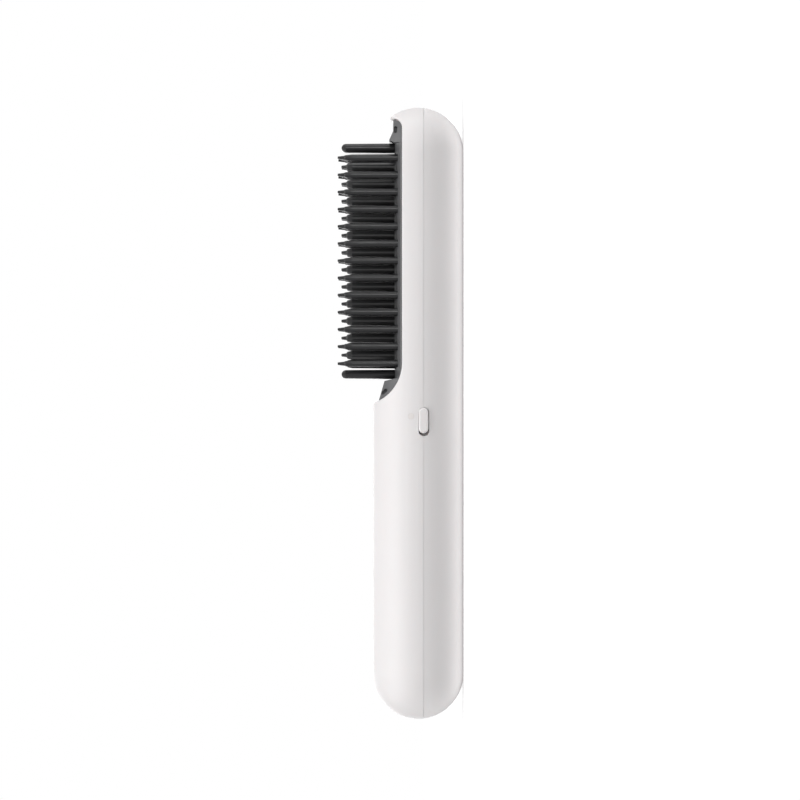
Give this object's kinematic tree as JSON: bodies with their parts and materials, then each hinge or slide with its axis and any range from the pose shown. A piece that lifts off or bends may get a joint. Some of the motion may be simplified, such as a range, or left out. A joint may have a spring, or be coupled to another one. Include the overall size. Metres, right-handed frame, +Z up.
{
  "type": "cordless hair straightener",
  "caption": "Cordless straightening comb: smooth rounded white casing, grey comb frame set into its head with heated and guard teeth, and a push button on the side seam.",
  "frame": {"origin": "middle of the flat back that the object rests on", "axes": "+X along the casing towards the comb, +Z up through the teeth, Y across with the button at -Y"},
  "size_m": [0.206, 0.0388, 0.0423],
  "materials": {
    "casing": "satin",
    "button": "satin",
    "frame_grey": "satin",
    "guard_dark": "satin",
    "heating_dark": "satin coating",
    "steel": "plain",
    "ceramic": "matt",
    "mica": "matt",
    "aluminium": "plain",
    "carrier": "matt",
    "cell_wrap": "film",
    "foam": "matt",
    "board_green": "solder mask",
    "chip_black": "matt",
    "ferrite": "matt",
    "plug_cream": "satin",
    "clear": "clear plastic",
    "lead_red": "satin",
    "lead_black": "satin",
    "lead_white": "satin"
  },
  "bodies": {
    "casing": {"front_shell": "casing", "rear_shell": "casing", "shell_screws": "steel", "comb_frame": "frame_grey", "heating_plate": "heating_dark", "heating_teeth": "heating_dark", "guard_teeth": "guard_dark", "end_guards": "guard_dark", "heater_element": "ceramic", "mica_sheet": "mica", "heater_clamp": "steel", "clamp_screws": "steel", "thermistor": "chip_black", "thermal_fuse": "aluminium", "heat_shield": "aluminium", "inner_frame": "carrier", "frame_screws": "steel", "board_screws": "steel", "battery_cell": "cell_wrap", "battery_contact_rear": "steel", "battery_contact_front": "steel", "battery_pad": "foam", "main_board": "board_green", "control_chip": "chip_black", "power_transistors": "chip_black", "inductor": "ferrite", "capacitor_can": "aluminium", "battery_connector": "plug_cream", "charge_connector": "plug_cream", "status_led": "clear", "tact_switch": "chip_black", "light_guide": "clear", "charge_socket": "steel", "socket_tongue": "chip_black", "charge_board": "board_green", "battery_leads": "lead_red", "charge_leads": "lead_black", "heater_leads": "lead_white", "sensor_leads": "lead_black"},
    "button": {"power_button": "button"},
    "plunger": {"switch_plunger": "chip_black"}
  },
  "joints": [
    {"name": "button_press", "type": "slide", "parent": "casing", "child": "button", "axis": [0, 1, 0], "range_m": [0, 0.0005], "stiffness_N_per_m": 1500},
    {"name": "plunger_press", "type": "slide", "parent": "casing", "child": "plunger", "axis": [0, 1, 0], "range_m": [0, 0.0005]}
  ],
  "couplings": [
    {"joint": "plunger_press", "follows": "button_press", "ratio": 1}
  ]
}
